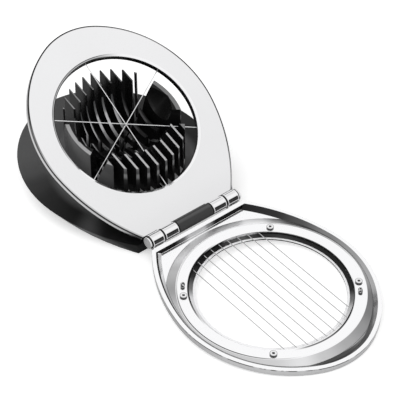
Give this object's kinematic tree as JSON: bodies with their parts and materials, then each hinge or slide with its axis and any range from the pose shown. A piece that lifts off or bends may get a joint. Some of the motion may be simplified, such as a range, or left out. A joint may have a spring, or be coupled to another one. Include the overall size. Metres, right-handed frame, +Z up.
{
  "type": "egg slicer",
  "caption": "Two-way egg slicer: a base with a bladed egg cradle, a wedger plate and a slicing frame with tensioned wires, all on one hinge.",
  "frame": {"origin": "on the table under the middle of the hinge axis", "axes": "+X from the hinge towards the slicing frame's tip, +Y along the hinge axis, +Z up"},
  "size_m": [0.2442, 0.1066, 0.0709],
  "materials": {
    "base_plastic": "satin",
    "cradle_plastic": "gloss",
    "plate_chrome": "polished",
    "frame_chrome": "polished",
    "ring_metal": "polished",
    "hinge_steel": "polished",
    "screw_steel": "satin",
    "wire_steel": "drawn"
  },
  "bodies": {
    "base": {"base_shell": "base_plastic", "egg_cradle": "cradle_plastic", "hinge_pin": "hinge_steel", "pin_cap": "hinge_steel"},
    "wedger": {"wedger_plate": "plate_chrome", "wedger_ring": "plate_chrome", "wedge_wire_1": "wire_steel", "wedge_wire_2": "wire_steel", "wedge_wire_3": "wire_steel"},
    "slicer": {"slicer_frame": "frame_chrome", "wire_ring": "ring_metal", "ring_screws": "screw_steel", "wire_anchors": "screw_steel", "slicing_wire_1": "wire_steel", "slicing_wire_2": "wire_steel", "slicing_wire_3": "wire_steel", "slicing_wire_4": "wire_steel", "slicing_wire_5": "wire_steel", "slicing_wire_6": "wire_steel", "slicing_wire_7": "wire_steel", "slicing_wire_8": "wire_steel", "slicing_wire_9": "wire_steel"}
  },
  "joints": [
    {"name": "wedger_hinge", "type": "hinge", "parent": "base", "child": "wedger", "pos_m": [0, 0, 0.0099], "axis": [0, 1, 0], "range_deg": [-25.9, 29]},
    {"name": "slicer_hinge", "type": "hinge", "parent": "wedger", "child": "slicer", "pos_m": [0, 0, 0.0099], "axis": [0, 1, 0], "range_deg": [-151.5, 25.9]}
  ]
}
